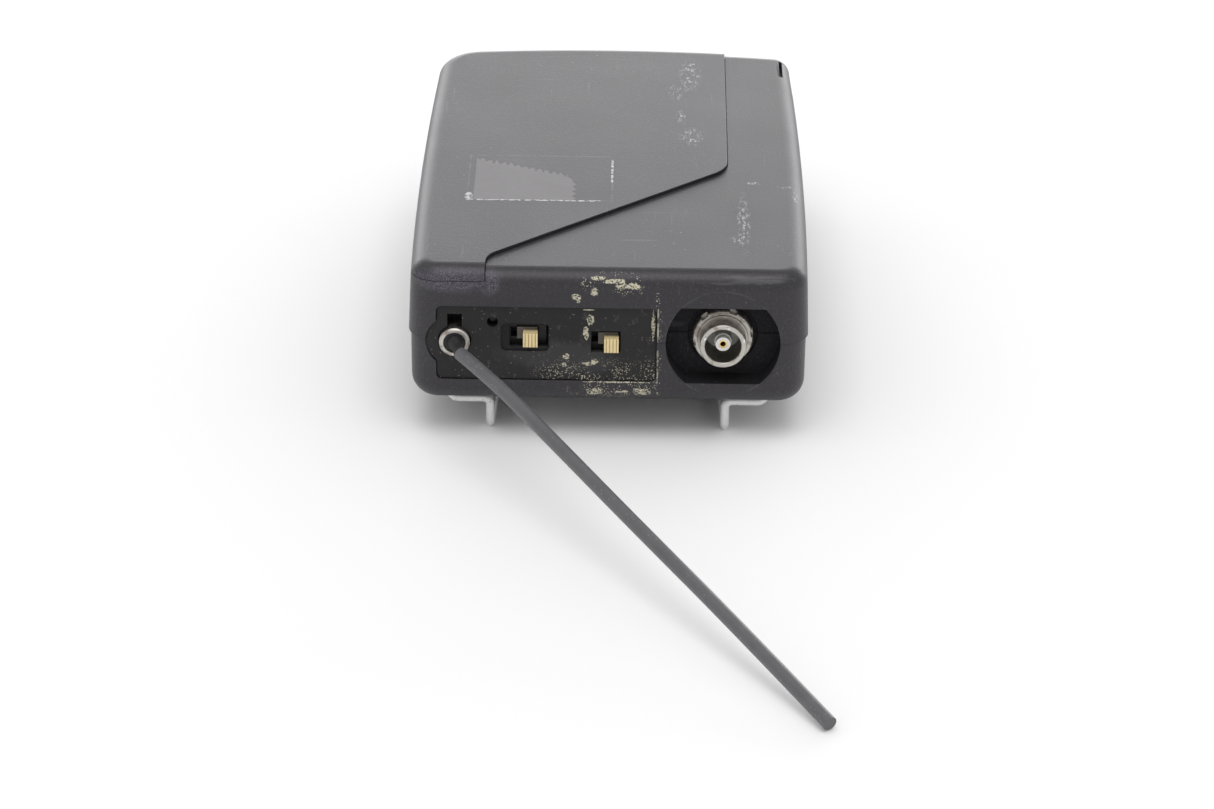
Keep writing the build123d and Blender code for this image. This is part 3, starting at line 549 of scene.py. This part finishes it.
def battery_jacket():
    """A plain dark jacket with a bright shoulder at the terminal end and a warm band at the other."""
    paint = Paint("battery_jacket")
    cloud = paint.noise(200, detail=5)
    tone = paint.mix(cloud, (0.018, 0.018, 0.022), (0.030, 0.030, 0.034))
    place = paint.axis("Y")
    tone = paint.mix(paint.above(place, battery_high[1] - 14 * MM, 0.05 * MM), tone, (0.42, 0.20, 0.055))
    metal = paint.below(place, battery_low[1] + 4.0 * MM, 0.05 * MM)
    tone = paint.mix(metal, tone, (0.62, 0.61, 0.58))
    paint.to("Base Color", tone)
    paint.to("Metallic", metal)
    paint.to("Roughness", paint.blend(cloud, 0.26, 0.42))
    paint.to("Normal", paint.bump(cloud, 0.02 * MM, 0.3))
    return paint.material


# --- pieces added to the frame ---

def ride_case(piece, material):
    """Links a piece, dresses it and fixes it to the case."""
    bpy.context.scene.collection.objects.link(piece)
    piece.data.materials.append(material)
    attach(piece, "case")


def tube_curve(name, strands, radius):
    """Round wires, each a list of points, as one curve object."""
    data = bpy.data.curves.new(name, "CURVE")
    data.dimensions = "3D"
    data.bevel_depth = radius
    data.bevel_resolution = 4
    data.use_fill_caps = True
    for points in strands:
        spline = data.splines.new("POLY")
        spline.points.add(len(points) - 1)
        for point, place in zip(spline.points, points):
            point.co = (*place, 1)
        spline.use_smooth = True
    return bpy.data.objects.new(name, data)


def add_antenna():
    """The wire as one smooth open curve along its route."""
    data = bpy.data.curves.new("antenna_jacket", "CURVE")
    data.dimensions = "3D"
    data.bevel_depth = ANTENNA_DIAMETER / 2
    data.bevel_resolution = 8
    data.use_fill_caps = True
    spline = data.splines.new("NURBS")
    spline.points.add(len(ANTENNA_ROUTE) - 1)
    for point, place in zip(spline.points, ANTENNA_ROUTE):
        point.co = (*place, 1)
    spline.order_u = 3
    spline.use_endpoint_u = True
    spline.resolution_u = 24
    wire = bpy.data.objects.new("antenna_jacket", data)
    jacket = finish("antenna_pvc", (0.082, 0.082, 0.087), (0.125, 0.125, 0.132), 0.42, scale=500,
                    fleck=(0.20, 0.20, 0.20))
    ride_case(wire, jacket)
    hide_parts("antenna_wire")


def add_coil_windings():
    """Enamelled copper wound on each ferrite core."""
    turns, steps = 9, 16
    radius, foot, rise = 1.93 * MM, 0.35 * MM, 2.7 * MM
    strands = []
    for x, y in ((9.0, 34), (20.0, 46), (20.0, 32)):
        points = []
        for step in range(turns * steps + 1):
            angle = math.tau * step / steps
            points.append((x * MM + radius * math.cos(angle), FRONT + y * MM + radius * math.sin(angle),
                           BOARD_TOP + foot + rise * step / (turns * steps)))
        strands.append(points)
    copper = finish("enamelled_copper", (0.50, 0.16, 0.06), (0.66, 0.26, 0.10), 0.3, metallic=1.0, scale=900)
    ride_case(tube_curve("coil_windings", strands, 0.14 * MM), copper)


def add_chip_parts():
    """Small surface-mounted resistors and capacitors: a bevelled body with a wrapped end at each side."""
    sizes = [(2.0, 1.25, 0.55), (1.6, 0.8, 0.45), (3.2, 1.6, 0.6)]
    places = [(-24, 13), (-20, 13), (-16, 13), (-20, 19), (-16, 19.5), (-12, 20), (-11, 26), (-9, 31),
              (3, 20), (6, 20), (15, 18.5), (19, 18.5), (23, 16), (3, 61), (3, 65), (3, 69), (3, 73),
              (16, 73), (16, 76), (4, 84), (7, 86), (10, 86.5), (25, 75), (25.5, 66), (17, 58.5), (12, 58.5)]
    mesh = bpy.data.meshes.new("chip_parts")
    build = bmesh.new()
    for number, (x, y) in enumerate(places):
        length, width, height = sizes[number % len(sizes)]
        turn = Matrix.Rotation(math.pi / 2 * (number % 2), 4, "Z")
        spot = Matrix.Translation((x * MM, FRONT + y * MM, BOARD_TOP))
        for start, end, swell in ((-0.5, -0.3, 0.03), (-0.3, 0.3, 0.0), (0.3, 0.5, 0.03)):
            span = (end - start) * length
            shape = Matrix.Diagonal((span * MM, (width + 2 * swell) * MM, (height + swell) * MM, 1))
            middle = Matrix.Translation(((start + end) / 2 * length * MM, 0, (height + swell) / 2 * MM))
            bmesh.ops.create_cube(build, size=1, matrix=spot @ turn @ middle @ shape)
    build.to_mesh(mesh)
    build.free()
    piece = bpy.data.objects.new("chip_parts", mesh)
    bevel = piece.modifiers.new("soft_edges", "BEVEL")
    bevel.width = 0.06 * MM
    bevel.segments = 2
    look = finish("chip_ceramic", (0.10, 0.075, 0.05), (0.50, 0.49, 0.46), 0.4, scale=330, depth=0.02)
    ride_case(piece, look)


def add_solder():
    """Solder cones where the connector's contact and the screens meet the board."""
    mesh = bpy.data.meshes.new("solder_joints")
    build = bmesh.new()
    sides = 14
    spots = [(4.5, 27.5), (24.5, 27.5), (4.5, 52.5), (24.5, 52.5), (-5, 14), (-1, 14), (3, 14), (15, 13),
             (24, 13)]
    for x, y in spots:
        rings = []
        for radius, height in ((0.85, 0.02), (0.62, 0.22), (0.38, 0.5), (0.2, 0.85)):
            ring = [build.verts.new((x * MM + radius * MM * math.cos(math.tau * k / sides),
                                     FRONT + y * MM + radius * MM * math.sin(math.tau * k / sides),
                                     BOARD_TOP + height * MM)) for k in range(sides)]
            rings.append(ring)
        for low, high in zip(rings, rings[1:]):
            for k in range(sides):
                build.faces.new((low[k], low[(k + 1) % sides], high[(k + 1) % sides], high[k]))
        build.faces.new(rings[-1])
        build.faces.new(list(reversed(rings[0])))
    for face in build.faces:
        face.smooth = True
    build.to_mesh(mesh)
    build.free()
    solder = finish("solder", (0.52, 0.52, 0.52), (0.72, 0.72, 0.71), 0.25, metallic=1.0, scale=700)
    ride_case(bpy.data.objects.new("solder_joints", mesh), solder)


add_camera()
add_floor()
add_studio_light()
add_antenna()
add_coil_windings()
add_chip_parts()
add_solder()

dress(case_plastic(), "upper_shell", "lower_shell", "battery_door")
dress(panel_plastic(), "control_panel")
dress(ivory_knob(), "power_switch_knob", "mute_switch_knob")
dress(worn_nickel(), "antenna_sleeve", "connector_barrel", "connector_ring_nut", "connector_lock_washer")
dress(finish("gilt", (0.70, 0.46, 0.16), (0.90, 0.68, 0.32), 0.25, metallic=1.0, scale=1200),
      "connector_contact")
dress(finish("white_fluoropolymer", (0.70, 0.69, 0.64), (0.86, 0.86, 0.83), 0.4, scale=900,
             fleck=(0.35, 0.30, 0.24)), "connector_insulator")
dress(finish("switch_housing", (0.008, 0.008, 0.008), (0.016, 0.016, 0.016), 0.5, scale=900),
      "power_switch_body", "mute_switch_body")
# painted shade: the levers are coloured dark brownish grey for the shade they sit in, inside the switch slots
dress(finish("switch_lever", (0.055, 0.048, 0.042), (0.130, 0.115, 0.100), 0.45, scale=900),
      "power_switch_lever", "mute_switch_lever")
dress(finish("plug_rubber", (0.010, 0.010, 0.010), (0.022, 0.022, 0.022), 0.6, scale=1100), "antenna_plug")
dress(finish("lamp_lens", (0.006, 0.002, 0.002), (0.012, 0.003, 0.003), 0.3, scale=1500), "status_led")
dress(finish("black_steel", (0.003, 0.003, 0.003), (0.006, 0.006, 0.006), 0.8, scale=800), "antenna_bracket")
dress(finish("clip_zinc", (0.66, 0.66, 0.66), (0.82, 0.82, 0.82), 0.5, metallic=0.45,
             stretch=(1400, 160, 1400), depth=0.02, fleck=(0.42, 0.40, 0.37)), "belt_clip")
dress(finish("screw_zinc", (0.40, 0.40, 0.40), (0.60, 0.60, 0.59), 0.32, metallic=1.0, scale=1300,
             depth=0.02), "clip_push_nuts", "case_screws", "board_screws")
dress(finish("tinned_sheet", (0.50, 0.50, 0.50), (0.66, 0.66, 0.66), 0.30, metallic=1.0,
             stretch=(1800, 120, 300)), "rf_shield", "crystal_can")
dress(finish("snap_nickel", (0.55, 0.53, 0.48), (0.74, 0.72, 0.66), 0.27, metallic=1.0, scale=1000),
      "battery_contacts")
dress(finish("contact_block", (0.030, 0.024, 0.020), (0.052, 0.042, 0.034), 0.6, scale=1000, depth=0.03),
      "battery_contact_block")
dress(finish("foam", (0.020, 0.020, 0.020), (0.050, 0.050, 0.050), 0.95, scale=1600, depth=0.35),
      "battery_pad")
dress(finish("ferrite", (0.030, 0.027, 0.026), (0.055, 0.050, 0.047), 0.55, scale=1400, depth=0.02),
      "rf_coils")
dress(finish("chip_epoxy", (0.010, 0.010, 0.010), (0.022, 0.022, 0.022), 0.5, scale=1800, depth=0.02,
             top=(BOARD_TOP + 0.32 * MM, (0.014, 0.014, 0.014))), "signal_chips")
dress(finish("capacitor_sleeve", (0.010, 0.016, 0.050), (0.018, 0.026, 0.075), 0.3, scale=500,
             top=(BOARD_TOP + 5.7 * MM, (0.56, 0.56, 0.56))), "filter_capacitors")
dress(finish("trimmer", (0.016, 0.060, 0.230), (0.024, 0.085, 0.300), 0.35, scale=900,
             top=(BOARD_TOP + 3.25 * MM, (0.62, 0.48, 0.26))), "gain_trimmer")
dress(board_laminate(), "main_board")
dress(battery_jacket(), "battery")
